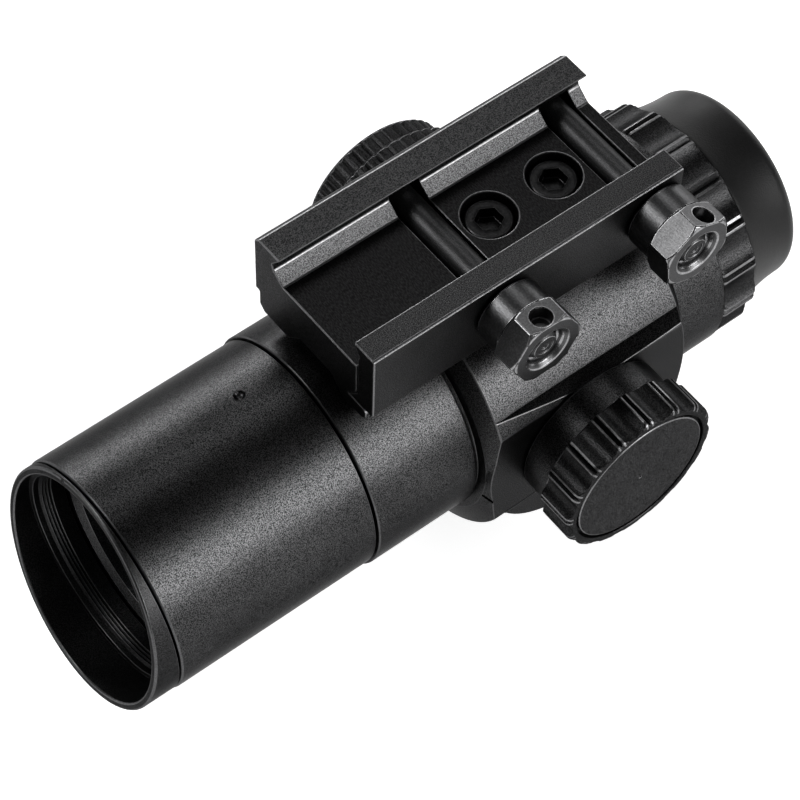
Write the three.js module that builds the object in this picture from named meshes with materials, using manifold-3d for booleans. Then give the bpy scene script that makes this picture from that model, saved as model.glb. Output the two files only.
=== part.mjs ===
// Compact tube sight with an integral rail clamp, drawn clamp side up.
// Millimetres. Origin: on the rail seat, midway between the two cross bars.
// +Z: out of the seat, towards the rail. +Y: from the objective towards the eye.
// +X: the side of the clamp nuts and the windage cap.
// Stations along Y below are measured from the middle of the clamp's length;
// piece() moves every finished solid by ORIGIN_Y so that the origin lies between the bars.
import * as THREE from "three";
import { mergeVertices } from "three/addons/utils/BufferGeometryUtils.js";
import { ConvexGeometry } from "three/addons/geometries/ConvexGeometry.js";
import Module from "manifold-3d";

const wasm = await Module();
wasm.setup();

// ---- driving dimensions ----
const ORIGIN_Y = 10; // station of the origin
const AXIS_Z = -32.5; // height of the optical axis, below the rail seat
const GAP = 0.3; // running gap between neighbouring pieces
const SLEEVE_R = 20.67;
const TUBE_R = 21.1;
const HOUSING_R = 26.4;
const REAR_TUBE_R = 20.9;
const FLAT_H = 23.8; // turret flats, distance from the optical axis
const TURRET_Y = 6.5; // windage and elevation turrets
const DIAL_Y = 9.0; // brightness dial
const SLEEVE_FRONT = -71.5;
const SLEEVE_REAR = -34.3;
const TUBE_FRONT = -33.5;
const HOUSING_FRONT = -12.1;
const HOUSING_REAR = 25.2;
const RING_FRONT = 38.8;
const RING_REAR = 46.1;
const HOOD_R = 20.47;
const HOOD_Y = -75.85; // slanted hood mouth, where it crosses the optical axis
const HOOD_SLANT = 0.1717; // radians, mouth leans back towards the rail side
const HOOD_SKEW = 0.0286;
const BASE_HALF_LENGTH = 30.4;
const RAIL_PITCH = 10.01; // standard slot pitch of the rail
const BOLT_SPACING = 3 * RAIL_PITCH;
const BOLT_Y = ORIGIN_Y - BOLT_SPACING / 2; // front cross bolt
const BOLT_Z = -1;
const BOLT_R = 2.55;
const SLOT_WIDTH = 5.9;
const JAW_OUTER_X = 14.3;
const NUT_HEX_X = 19.7;
const NUT_END_X = 24.6;
const NUT_AF = 12;
const SCREW_YS = [ORIGIN_Y - 6.5, ORIGIN_Y + 6.5];
const FLUTES = 16; // on each scalloped grip
const ROUND = 48; // facets of the large turned pieces
const MEDIUM = 32;
const SMALL = 20;

// ---- colours ----
const FINISH = {
  anodised: { color: 0x1b1b1c, roughness: 0.55, metalness: 0.7 },
  inner_black: { color: 0x111112, roughness: 0.3, metalness: 0.5 },
  steel: { color: 0x2c2c2d, roughness: 0.38, metalness: 0.9 },
  rubber: { color: 0x1d1d1e, roughness: 0.8, metalness: 0 },
  glass: { color: 0x2a3138, roughness: 0.05, metalness: 0 },
  plastic: { color: 0x141414, roughness: 0.6, metalness: 0 },
  brass: { color: 0xb08d4a, roughness: 0.35, metalness: 0.9 },
  cell: { color: 0xb9bcc0, roughness: 0.25, metalness: 0.95 },
};

// ---- building blocks ----
function solid(geometry) {
  const bare = geometry.index ? geometry.toNonIndexed() : geometry.clone();
  bare.deleteAttribute("normal");
  bare.deleteAttribute("uv");
  const welded = mergeVertices(bare, 1e-4);
  const ids = welded.index.array;
  const build = (order) => {
    const tris = [];
    for (let i = 0; i < ids.length; i += 3) {
      const t = order.map((k) => ids[i + k]);
      if (t[0] !== t[1] && t[1] !== t[2] && t[2] !== t[0]) tris.push(...t);
    }
    return new wasm.Manifold(
      new wasm.Mesh({
        numProp: 3,
        vertProperties: new Float32Array(welded.attributes.position.array),
        triVerts: new Uint32Array(tris),
      }),
    );
  };
  const made = build([0, 1, 2]);
  return made.volume() > 0 ? made : build([0, 2, 1]);
}

// Places a solid drawn about +Y (its heights measured from the optical axis) on one side of the body.
const SIDES = {
  barrel: (g) => g.translate(0, 0, AXIS_Z),
  right: (g, y) => g.rotateZ(-Math.PI / 2).translate(0, y, AXIS_Z),
  left: (g, y) => g.rotateZ(Math.PI / 2).translate(0, y, AXIS_Z),
  below: (g, y) => g.rotateX(-Math.PI / 2).translate(0, y, AXIS_Z),
};

// profile: [radius, height] pairs; a loop of its own, or a line that starts and ends on the axis
function turned(profile, side = "barrel", y = 0, facets = ROUND) {
  const points = profile.map(([r, h]) => new THREE.Vector2(r, h));
  if (profile[0][0] > 0) points.push(points[0].clone());
  return solid(SIDES[side](new THREE.LatheGeometry(points, facets), y));
}

const disc = (r, h0, h1) => [
  [0, h0],
  [r, h0],
  [r, h1],
  [0, h1],
];

const box = (x0, x1, y0, y1, z0, z1) =>
  solid(
    new THREE.BoxGeometry(x1 - x0, y1 - y0, z1 - z0).translate(
      (x0 + x1) / 2,
      (y0 + y1) / 2,
      (z0 + z1) / 2,
    ),
  );

// A rod along X, at a given place in the YZ plane.
const rodX = (r, x0, x1, y, z, facets = SMALL) =>
  solid(
    new THREE.CylinderGeometry(r, r, x1 - x0, facets)
      .rotateZ(-Math.PI / 2)
      .translate((x0 + x1) / 2, y, z),
  );

const rodZ = (r, z0, z1, x, y, facets = SMALL) =>
  solid(
    new THREE.CylinderGeometry(r, r, z1 - z0, facets)
      .rotateX(Math.PI / 2)
      .translate(x, y, (z0 + z1) / 2),
  );

// A section drawn in X and Z, drawn out along Y.
function drawnAlongY(section, y0, y1) {
  const shape = new THREE.Shape(section.map(([x, z]) => new THREE.Vector2(x, z)));
  const g = new THREE.ExtrudeGeometry(shape, { depth: y1 - y0, bevelEnabled: false });
  return solid(g.rotateX(Math.PI / 2).translate(0, y1, 0));
}

const hull = (points) => solid(new ConvexGeometry(points.map((p) => new THREE.Vector3(...p))));

// Wide hollow flutes with narrow ridges between them, round a grip.
function fluted(ridge, valley, h0, h1, side, y, phase) {
  const step = (2 * Math.PI) / FLUTES;
  const shape = new THREE.Shape();
  for (let i = 0; i < FLUTES; i++) {
    for (const [part, r] of [
      [-0.15, ridge],
      [0.15, ridge],
      [0.32, valley + 0.25],
      [0.5, valley],
      [0.68, valley + 0.25],
    ]) {
      const a = phase + (i + part) * step;
      const [u, v] = [r * Math.cos(a), r * Math.sin(a)];
      if (i === 0 && part === -0.15) shape.moveTo(u, v);
      else shape.lineTo(u, v);
    }
  }
  const g = new THREE.ExtrudeGeometry(shape, { depth: h1 - h0, bevelEnabled: false });
  g.rotateX(-Math.PI / 2).translate(0, h0, 0);
  return solid(SIDES[side](g, y));
}

const group = new THREE.Group();
function piece(name, made, finish) {
  const mesh = made.translate([0, -ORIGIN_Y, 0]).getMesh();
  const g = new THREE.BufferGeometry();
  g.setAttribute("position", new THREE.BufferAttribute(new Float32Array(mesh.vertProperties), 3));
  g.setIndex(new THREE.BufferAttribute(new Uint32Array(mesh.triVerts), 1));
  g.computeVertexNormals();
  const node = new THREE.Mesh(g, new THREE.MeshStandardMaterial(FINISH[finish]));
  node.name = name;
  group.add(node);
}

// ---- housing: tube, thick middle with turret flats, rear tube ----
function housing() {
  const far = 60;
  const outline = [
    [0, -44.5],
    [17.3, -44.5],
    [17.6, -44.2],
    [17.6, TUBE_FRONT],
    [TUBE_R - 0.2, TUBE_FRONT],
    [TUBE_R, TUBE_FRONT + 0.2],
    [TUBE_R, -14.3],
    [20.5, -14.3],
    [20.5, -13.5],
    [22.4, -13.5],
    [HOUSING_R, HOUSING_FRONT],
    [HOUSING_R, HOUSING_REAR],
    [21.5, 28.3],
    [REAR_TUBE_R, 28.9],
    [REAR_TUBE_R, RING_FRONT - GAP],
    [0, RING_FRONT - GAP],
  ];
  const slotCeiling = -18.05;
  const flatEdge = AXIS_Z + Math.sqrt(HOUSING_R ** 2 - FLAT_H ** 2);
  const windagePad = turned(disc(20, 10, FLAT_H), "right", TURRET_Y).subtract(
    box(0, far, -far, far, flatEdge, 0),
  );
  let body = turned(outline)
    .subtract(box(FLAT_H, far, -far, far, -far - 30, 0))
    .subtract(box(-far, -FLAT_H, -far, far, -far - 30, 0))
    .subtract(box(-far, far, -far, far, -far - 50, AXIS_Z - FLAT_H))
    .add(windagePad)
    .add(turned(disc(20, 10, FLAT_H), "below", TURRET_Y))
    .add(turned(disc(18, 10, FLAT_H), "left", DIAL_Y));
  // pocket for the clamp's feet
  body = body.subtract(box(-14.6, 12.9, -14.4, 29, -12.1, 0));
  // undercut beside the windage flat, opening towards the rear
  body = body.subtract(
    hull([
      [22.0, -12.2, slotCeiling],
      [30, -12.2, slotCeiling],
      [30, -12.2, -19.5],
      [20.6, 5.5, slotCeiling],
      [20.6, 5.5, -20.2],
      [30, 5.5, -22.8],
      [19.5, 30, slotCeiling],
      [19.5, 30, -19.6],
      [30, 30, slotCeiling],
      [30, 30, -22.0],
    ]),
  );
  body = body
    .subtract(turned(disc(15.6, -50, 40)))
    .subtract(turned(disc(17.9, 28.4, 45)))
    .subtract(turned(disc(6.3, 8, 30), "right", TURRET_Y, SMALL))
    .subtract(turned(disc(6.3, 8, 30), "below", TURRET_Y, SMALL))
    .subtract(turned(disc(8, 8, 30), "left", DIAL_Y, SMALL));
  for (const y of SCREW_YS) body = body.subtract(rodZ(2.7, -15.6, -10, 0, y, 16));
  return body;
}
piece("housing", housing(), "anodised");

// ---- objective end ----
const sleeve = turned([
  [18.9, SLEEVE_FRONT],
  [SLEEVE_R - 0.3, SLEEVE_FRONT],
  [SLEEVE_R, SLEEVE_FRONT + 0.3],
  [SLEEVE_R, SLEEVE_REAR - 0.3],
  [SLEEVE_R - 0.3, SLEEVE_REAR],
  [17.9, SLEEVE_REAR],
  [17.9, -44.9],
  [15.8, -44.9],
  [15.8, -57.4],
  [17.6, -57.4],
  [17.6, -66.4],
  [18.9, -66.4],
]);
const dimple = rodZ(0.8, -12.3, -8, -3.1, -42.7, 12);
piece("sleeve", sleeve.subtract(dimple), "anodised");

const mouthCut = solid(
  new THREE.BoxGeometry(80, 20, 80)
    .translate(0, -10, 0)
    .rotateX(-HOOD_SLANT)
    .rotateZ(-HOOD_SKEW)
    .translate(0, HOOD_Y, AXIS_Z),
);
const hood = turned([
  [19.1, -81],
  [HOOD_R, -81],
  [HOOD_R, -71.8],
  [18.6, -71.8],
  [18.6, -66.7],
  [17.7, -66.7],
  [17.7, -72.0],
  [18.2, -72.5],
  [19.1, -72.5],
]);
piece("hood_ring", hood.subtract(mouthCut), "anodised");

piece(
  "objective_retainer",
  turned([
    [15.3, -65.9],
    [17.3, -66.4],
    [17.3, -63.2],
    [15.3, -63.9],
  ]),
  "inner_black",
);
const crown = turned(
  [
    [0, -65.0],
    [6, -64.75],
    [12, -64.0],
    [17.3, -62.6],
    [17.3, -61.4],
    [12, -60.4],
    [6, -59.9],
    [0, -59.7],
  ],
  "barrel",
  0,
  MEDIUM,
);
piece("objective_crown_lens", crown, "glass");
const flint = turned(
  [
    [0, -59.4],
    [6, -59.6],
    [12, -60.1],
    [17.3, -61.1],
    [17.3, -57.7],
    [12, -58.1],
    [6, -58.2],
    [0, -58.25],
  ],
  "barrel",
  0,
  MEDIUM,
);
piece("objective_flint_lens", flint, "glass");

// ---- erecting prism and reticle ----
const PRISM = 14;
const carrier = turned(disc(13.5, -12, 22), "barrel", 0, MEDIUM)
  .add(turned(disc(15.3, -14, -12), "barrel", 0, MEDIUM))
  .subtract(
    box(
      -PRISM / 2 - GAP,
      PRISM / 2 + GAP,
      -20,
      30,
      AXIS_Z - PRISM / 2 - GAP,
      AXIS_Z + PRISM / 2 + GAP,
    ),
  );
piece("prism_carrier", carrier, "inner_black");
const half = PRISM / 2;
const onAxis = (points) => hull(points.map(([x, y, z]) => [x, y, z + AXIS_Z]));
piece(
  "half_penta_prism",
  onAxis(
    [-half, half].flatMap((x) => [
      [x, -9, -half],
      [x, -9, half],
      [x, 4, half],
      [x, -2, -half],
    ]),
  ),
  "glass",
);
piece(
  "roof_prism",
  onAxis([
    ...[-half, half].flatMap((x) => [
      [x, -1.6, -half],
      [x, 12, -half],
      [x, 3.1, 4],
      [x, 12, 4],
    ]),
    [0, 4.4, half],
    [0, 12, half],
  ]),
  "glass",
);
const LED_Y = 26.4;
const reticleHolder = turned(
  [
    [9, 23.6],
    [15.3, 23.6],
    [15.3, 28.1],
    [11.4, 28.1],
    [11.4, 25.2],
    [9, 25.2],
  ],
  "barrel",
  0,
  MEDIUM,
).subtract(rodX(1.5, -16, -11, LED_Y, AXIS_Z, 12));
piece("reticle_holder", reticleHolder, "inner_black");
piece("reticle_glass", turned(disc(11.1, 25.5, 27.3), "barrel", 0, MEDIUM), "glass");
piece("reticle_led", rodX(1.2, -15.2, -11.8, LED_Y, AXIS_Z, 12), "plastic");

// ---- eyepiece ----
piece(
  "eyepiece_cell",
  turned([
    [12, 29],
    [17.6, 29],
    [17.6, RING_REAR + 0.1],
    [14.5, RING_REAR + 0.1],
    [14.5, 53.6],
    [12.9, 53.6],
    [12.9, 46.8],
    [12, 46.8],
  ]),
  "inner_black",
);
const fieldLens = [
  [0, 31.6],
  [7, 32.1],
  [11.7, 33.2],
  [11.7, 35.4],
  [7, 36.2],
  [0, 36.6],
];
piece("field_lens", turned(fieldLens, "barrel", 0, MEDIUM), "glass");
const eyeLens = [
  [0, 47.1],
  [7, 47.3],
  [12.6, 48.1],
  [12.6, 50.4],
  [7, 51.6],
  [0, 52.1],
];
piece("eye_lens", turned(eyeLens, "barrel", 0, MEDIUM), "glass");
piece(
  "eye_lens_retainer",
  turned(
    [
      [11.2, 52.0],
      [12.6, 51.0],
      [12.6, 53.4],
      [11.2, 53.4],
    ],
    "barrel",
    0,
    MEDIUM,
  ),
  "inner_black",
);
const FOCUS_PHASE = 0.0436;
const focusRing = fluted(20.7, 19.75, RING_FRONT, RING_REAR, "barrel", 0, FOCUS_PHASE);
piece("focus_ring", focusRing.subtract(turned(disc(17.9, 30, 50))), "anodised");
piece(
  "eyecup",
  turned([
    [14.8, 46.4],
    [19.1, 46.4],
    [18.95, 48],
    [18.2, 50],
    [17.85, 52],
    [17.7, 54],
    [17.4, 56],
    [16.7, 57.3],
    [15.4, 58],
    [14.2, 57.8],
    [13.4, 57],
    [13, 55.5],
    [13, 53.9],
    [14.8, 53.9],
  ]),
  "rubber",
);

// ---- windage (right) and elevation (below) turrets ----
function turret(name, side, d) {
  piece(
    `${name}_turret`,
    turned(
      [
        [3.3, 17.5],
        [6, 17.5],
        [6, FLAT_H + GAP],
        [d.plateR, FLAT_H + GAP],
        [d.plateR, d.plateTop],
        [d.collarR, d.plateTop],
        [d.collarR, d.collarTop],
        [d.wellR, d.collarTop],
        [d.wellR, d.plateTop],
        [3.3, d.plateTop],
      ],
      side,
      TURRET_Y,
      MEDIUM,
    ),
    "anodised",
  );
  const head = d.wellR - GAP - 0.1;
  const slotHalf = 0.6;
  const slotDepth = 0.9;
  const headTop = d.collarTop - 0.5;
  const screw = turned(
    [
      [0, 13.8],
      [2.6, 13.8],
      [3, 14.2],
      [3, d.plateTop + GAP],
      [head, d.plateTop + GAP],
      [head, headTop],
      [0, headTop],
    ],
    side,
    TURRET_Y,
    SMALL,
  );
  const slot = new THREE.BoxGeometry(2 * slotHalf, 2 * slotDepth, 20).translate(0, headTop, 0);
  piece(`${name}_adjuster`, screw.subtract(solid(SIDES[side](slot, TURRET_Y))), "steel");

  const cavityR = d.collarR + GAP;
  const rim = [
    [0, d.capBottom],
    [d.capR - 0.1, d.capBottom],
    [d.capR - 0.1, d.gripTop],
    [d.capR - 0.65, d.capTop],
    [0, d.capTop],
  ];
  const cap = turned(rim, side, TURRET_Y, MEDIUM)
    .intersect(fluted(d.capR, d.capR - 0.8, d.capBottom, d.gripTop, side, TURRET_Y, d.phase))
    .add(
      turned(
        [
          [0, d.gripTop - 0.05],
          [d.capR - 0.15, d.gripTop - 0.05],
          [d.capR - 0.65, d.capTop],
          [0, d.capTop],
        ],
        side,
        TURRET_Y,
        MEDIUM,
      ),
    )
    .subtract(turned(disc(cavityR, d.capBottom - 1, d.capCeiling), side, TURRET_Y, MEDIUM))
    .subtract(turned(disc(d.faceR, d.faceFloor, d.capTop + 1), side, TURRET_Y, MEDIUM));
  piece(`${name}_cap`, cap, "anodised");
  const plate = disc(d.faceR - GAP, d.faceFloor + 0.2, d.capTop - 0.1);
  piece(`${name}_cap_plate`, turned(plate, side, TURRET_Y, MEDIUM), "anodised");
}
turret("windage", "right", {
  plateR: 13.55,
  plateTop: 29.7,
  collarR: 11.4,
  collarTop: 33.2,
  wellR: 8,
  capR: 15.05,
  capBottom: 30,
  gripTop: 36,
  capTop: 36.95,
  capCeiling: 34.2,
  faceR: 13.5,
  faceFloor: 35.9,
  phase: -0.0262,
});
turret("elevation", "below", {
  plateR: 12,
  plateTop: 26.8,
  collarR: 9.2,
  collarTop: 29.6,
  wellR: 6.5,
  capR: 13.2,
  capBottom: 27.1,
  gripTop: 31.6,
  capTop: 32.5,
  capCeiling: 30.6,
  faceR: 11.6,
  faceFloor: 31.5,
  phase: 0,
});

// ---- brightness dial with the battery under its cap ----
piece(
  "dial_base",
  turned(
    [
      [0, 16.5],
      [7.7, 16.5],
      [7.7, FLAT_H + GAP],
      [13.5, FLAT_H + GAP],
      [13.5, 25.3],
      [0, 25.3],
    ],
    "left",
    DIAL_Y,
    MEDIUM,
  ),
  "anodised",
);
piece(
  "brightness_dial",
  turned(
    [
      [0, 25.6],
      [13.8, 25.6],
      [13.8, 24.4],
      [15.5, 24.4],
      [15.9, 24.8],
      [15.9, 30.9],
      [15.6, 31.2],
      [12.7, 31.2],
      [12.7, 28.2],
      [0, 28.2],
    ],
    "left",
    DIAL_Y,
    MEDIUM,
  ),
  "anodised",
);
piece("battery_contact", turned(disc(8, 28.5, 29.3), "left", DIAL_Y, SMALL), "brass");
piece("battery", turned(disc(10, 29.6, 32.8), "left", DIAL_Y, MEDIUM), "cell");
const coinSlot = new THREE.BoxGeometry(1.8, 2.4, 16).translate(0, 35.85, 0);
piece(
  "battery_cap",
  turned(
    [
      [0, 33.6],
      [10.5, 33.6],
      [10.5, 29.9],
      [12.4, 29.9],
      [12.4, 31.5],
      [13.95, 31.5],
      [13.95, 35.3],
      [13.4, 35.85],
      [0, 35.85],
    ],
    "left",
    DIAL_Y,
    MEDIUM,
  ).subtract(solid(SIDES.left(coinSlot, DIAL_Y))),
  "anodised",
);

// ---- rail clamp ----
const boltYs = [BOLT_Y, BOLT_Y + BOLT_SPACING];
function mountBase() {
  const section = [
    [-15.3, 4.6],
    [-15.3, -7.4],
    [-14.3, -7.4],
    [-14.3, -10.6],
    [-13.1, -11.8],
    [-6.95, -11.8],
    [-3.95, -8.8],
    [3.95, -8.8],
    [6.95, -11.8],
    [11.8, -11.8],
    [12.6, -11],
    [12.6, -9.8],
    [12, -9.2],
    [8, -9.2],
    [10.2, -6.7],
    [10.2, 0],
    [-8.1, 0],
    [-10.5, 1.9],
    [-10.8, 3.1],
    [-8.87, 5.7],
    [-14.2, 5.7],
  ];
  let base = drawnAlongY(section, -BASE_HALF_LENGTH, BASE_HALF_LENGTH);
  for (const y of boltYs) {
    base = base
      .subtract(box(-12, 11, y - SLOT_WIDTH / 2, y + SLOT_WIDTH / 2, -3.9, 3.05))
      .subtract(rodX(BOLT_R + GAP, -16, -11, y, BOLT_Z))
      .subtract(rodX(4.5, -16, -13.6, y, BOLT_Z));
  }
  for (const y of SCREW_YS) {
    base = base
      .subtract(rodZ(4.55, -5.3, 1, 0, y, 32))
      .subtract(rodZ(2.7, -10, -5, 0, y));
  }
  return base;
}
piece("mount_base", mountBase(), "anodised");

function clampJaw() {
  const section = [
    [10.5, -6.58],
    [8.47, -8.9],
    [14, -8.9],
    [JAW_OUTER_X, -8.6],
    [JAW_OUTER_X, 5.3],
    [JAW_OUTER_X - 0.3, 5.6],
    [9.5, 5.6],
    [10.9, 3.3],
    [10.5, 2.3],
  ];
  let jaw = drawnAlongY(section, -BASE_HALF_LENGTH, BASE_HALF_LENGTH);
  for (const y of boltYs) jaw = jaw.subtract(rodX(BOLT_R + GAP, 9, 16, y, BOLT_Z));
  return jaw;
}
piece("clamp_jaw", clampJaw(), "anodised");

// A round collar and a hexagon, with a cross hole for a bar in one flat; turn is that flat's direction.
function clampNut(y, turn) {
  const corner = NUT_AF / Math.sqrt(3);
  const hexagon = new THREE.CylinderGeometry(corner, corner, NUT_END_X - NUT_HEX_X, 6)
    .translate(0, (NUT_END_X + NUT_HEX_X) / 2, 0)
    .rotateY(turn + Math.PI / 6);
  const place = (g) => solid(g.rotateZ(-Math.PI / 2).translate(0, y, BOLT_Z));
  const lathe = (profile, facets = SMALL) =>
    place(new THREE.LatheGeometry(profile.map(([r, h]) => new THREE.Vector2(r, h)), facets));
  const barHole = new THREE.CylinderGeometry(1.8, 1.8, 6, 16)
    .rotateX(Math.PI / 2)
    .translate(0, 22.4, 6.5)
    .rotateY(turn);
  return place(hexagon)
    .intersect(
      lathe([
        [0, NUT_HEX_X - 0.1],
        [6.4, NUT_HEX_X - 0.1],
        [corner + 0.1, NUT_HEX_X + 0.4],
        [corner + 0.1, NUT_END_X - 0.55],
        [6.1, NUT_END_X],
        [0, NUT_END_X],
      ]),
    )
    .add(lathe(disc(5.9, JAW_OUTER_X + GAP, NUT_HEX_X + 0.1)))
    .subtract(
      lathe([
        [0, 10],
        [BOLT_R + GAP, 10],
        [BOLT_R + GAP, NUT_END_X - 1.5],
        [4.3, NUT_END_X],
        [4.3, NUT_END_X + 1],
        [0, NUT_END_X + 1],
      ]),
    )
    .subtract(place(barHole));
}

function crossBolt(y) {
  const profile = [
    [0, -15.1],
    [4.2, -15.1],
    [4.2, -13.7],
    [BOLT_R, -13.7],
    [BOLT_R, 23.6],
    [BOLT_R - 0.4, 24],
    [0, 24],
  ];
  const g = new THREE.LatheGeometry(profile.map(([r, h]) => new THREE.Vector2(r, h)), SMALL);
  const drive = new THREE.CylinderGeometry(1.75, 1.75, 2, 6).translate(0, -15.1, 0);
  const place = (part) => solid(part.rotateZ(-Math.PI / 2).translate(0, y, BOLT_Z));
  return place(g).subtract(place(drive));
}

function baseScrew(y) {
  const profile = [
    [0, -15.3],
    [2.4, -15.3],
    [2.4, -5],
    [3.9, -5],
    [3.9, -1.3],
    [3.6, -1],
    [0, -1],
  ];
  const g = new THREE.LatheGeometry(profile.map(([r, h]) => new THREE.Vector2(r, h)), SMALL);
  const socket = new THREE.CylinderGeometry(2.3, 2.3, 5, 6).translate(0, -1, 0);
  const place = (part) => solid(part.rotateX(Math.PI / 2).translate(0, y, 0));
  return place(g).subtract(place(socket));
}

const NUT_TURNS = [0, -0.4];
["front", "rear"].forEach((end, i) => {
  piece(`cross_bolt_${end}`, crossBolt(boltYs[i]), "steel");
  piece(`clamp_nut_${end}`, clampNut(boltYs[i], NUT_TURNS[i]), "steel");
  piece(`base_screw_${end}`, baseScrew(SCREW_YS[i]), "steel");
});

export default group;
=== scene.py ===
import math

import bmesh
import bpy
from mathutils import Matrix, Vector


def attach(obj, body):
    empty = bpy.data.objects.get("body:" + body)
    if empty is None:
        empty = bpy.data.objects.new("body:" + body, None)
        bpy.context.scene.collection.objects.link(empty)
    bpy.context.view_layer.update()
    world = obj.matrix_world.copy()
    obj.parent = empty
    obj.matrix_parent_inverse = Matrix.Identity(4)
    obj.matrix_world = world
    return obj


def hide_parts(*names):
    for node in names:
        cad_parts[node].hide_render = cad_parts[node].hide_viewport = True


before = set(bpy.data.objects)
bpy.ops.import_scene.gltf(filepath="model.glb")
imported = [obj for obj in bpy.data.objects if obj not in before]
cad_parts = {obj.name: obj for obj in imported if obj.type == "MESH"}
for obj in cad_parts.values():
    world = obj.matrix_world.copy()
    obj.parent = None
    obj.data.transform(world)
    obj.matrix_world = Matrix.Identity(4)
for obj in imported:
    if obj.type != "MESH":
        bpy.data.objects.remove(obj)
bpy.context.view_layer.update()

# Millimetres throughout; MM turns them into metres when a mesh is made.
MM = 0.001
AXIS_Z = -32.5
TURRET_Y = -3.5
DIAL_Y = -1.0
BOLT_Z = -1.0
BOLT_YS = (-15.015, 15.015)
SCREW_YS = (-6.5, 6.5)
FLOOR_Z = -65.0
SLEEVE_R = 20.67
TUBE_R = 21.1
HOUSING_R = 26.4
REAR_TUBE_R = 20.9
BORE_R = 15.6
EYEPIECE_BORE_R = 17.9
BOLT_R = 2.55
BOLT_HOLE_R = 2.85
SCREW_POCKET_R = 4.55
SCREW_HOLE_R = 2.7
NUT_APOTHEM = 6.0
FLUTES = 16
ARC_STEPS = 3  # faces round each softened corner
# The extra slots hold a painted edge highlight, painted shade on the clamp seat and painted light
# on the clamp wall.
EDGE, SEAT_SHADE_FACES, WALL_LIGHT_FACES = 1, 2, 3  # material slots after the main one

# ---------------------------------------------------------------- placing
# Each matrix takes (across, along, up) of a turned piece to the object's frame.
BARREL = Matrix.Translation((0, 0, AXIS_Z))


def facing(direction, centre):
    """Turned pieces are drawn about +Y: this turns +Y to direction, at centre."""
    turn = {
        "+X": Matrix(((0, 1, 0), (-1, 0, 0), (0, 0, 1))),
        "-X": Matrix(((0, -1, 0), (1, 0, 0), (0, 0, 1))),
        "-Z": Matrix(((1, 0, 0), (0, 0, 1), (0, -1, 0))),
        "+Z": Matrix(((1, 0, 0), (0, 0, -1), (0, 1, 0))),
    }[direction]
    return Matrix.Translation(centre) @ turn.to_4x4()


RIGHT = facing("+X", (0, TURRET_Y, AXIS_Z))
LEFT = facing("-X", (0, DIAL_Y, AXIS_Z))
BELOW = facing("-Z", (0, TURRET_Y, AXIS_Z))


# ---------------------------------------------------------------- meshes
def make(name, verts, faces, place=None, edge_faces=()):
    place = place or Matrix.Identity(4)
    mesh = bpy.data.meshes.new(name)
    mesh.from_pydata([(place @ Vector(v)) * MM for v in verts], [], faces)
    mesh.materials.append(None)
    mesh.materials.append(None)
    obj = bpy.data.objects.new(name, mesh)
    for i in edge_faces:
        mesh.polygons[i].material_index = EDGE
    bpy.context.scene.collection.objects.link(obj)
    bm = bmesh.new()
    bm.from_mesh(mesh)
    bmesh.ops.recalc_face_normals(bm, faces=bm.faces)
    if bm.calc_volume(signed=True) < 0:
        bmesh.ops.reverse_faces(bm, faces=bm.faces)
    bm.to_mesh(mesh)
    bm.free()
    return obj


def soften(profile, radius=0.25, closed=True):
    """Rounds a profile's corners. Gives (r, h, arc); arc numbers a convex corner, or is None."""
    n = len(profile)
    area = sum(
        profile[i][0] * profile[(i + 1) % n][1] - profile[(i + 1) % n][0] * profile[i][1]
        for i in range(n)
    )
    out = []
    for i, corner in enumerate(profile):
        p = Vector(corner[:2])
        r = corner[2] if len(corner) > 2 else radius
        if (not closed and i in (0, n - 1)) or p.x < 1e-6 or r <= 0:
            out.append((p.x, p.y, None))
            continue
        a = Vector(profile[i - 1][:2]) - p
        b = Vector(profile[(i + 1) % n][:2]) - p
        la, lb = a.length, b.length
        a.normalize()
        b.normalize()
        half = 0.5 * math.acos(max(-1, min(1, a.dot(b))))
        if half > math.radians(84):
            out.append((p.x, p.y, None))
            continue
        reach = min(r / math.tan(half), 0.42 * la, 0.42 * lb)
        real = reach * math.tan(half)
        centre = p + (a + b).normalized() * (real / math.sin(half))
        start, end = p + a * reach - centre, p + b * reach - centre
        sweep = start.angle_signed(end) if start.length > 1e-9 else 0
        convex = (a.x * b.y - a.y * b.x) * area < 0
        for k in range(ARC_STEPS + 1):
            q = Matrix.Rotation(-sweep * k / ARC_STEPS, 2) @ start + centre
            out.append((q.x, q.y, i if convex else None))
    return out


def lathe(name, profile, place=BARREL, seg=144, radius=0.25, shape=None):
    """A turned solid. profile: (r, h[, corner radius]) corners. shape(r, h, angle) changes them."""
    closed = profile[0][0] > 0
    points = soften(profile, radius, closed)
    count = len(points)
    verts, rings = [], []
    for r, h, _ in points:
        if r < 1e-6:
            rings.append([len(verts)])
            verts.append((0, h, 0))
            continue
        ring = []
        for j in range(seg):
            a = 2 * math.pi * j / seg
            rr, hh = shape(r, h, a) if shape else (r, h)
            ring.append(len(verts))
            verts.append((rr * math.cos(a), hh, rr * math.sin(a)))
        rings.append(ring)
    faces, edges = [], []
    for i in range(count if closed else count - 1):
        k = (i + 1) % count
        r0, r1 = rings[i], rings[k]
        # Faces on a rounded convex corner take the lighter edge material, a painted highlight.
        highlight_paint = points[i][2] is not None and points[i][2] == points[k][2]
        if len(r0) == 1 and len(r1) == 1:
            continue
        for j in range(seg):
            m = (j + 1) % seg
            if len(r0) == 1:
                face = (r0[0], r1[m], r1[j])
            elif len(r1) == 1:
                face = (r0[j], r0[m], r1[0])
            else:
                face = (r0[j], r0[m], r1[m], r1[j])
            if highlight_paint:
                edges.append(len(faces))
            faces.append(face)
    return make(name, verts, faces, place, edges)


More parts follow.
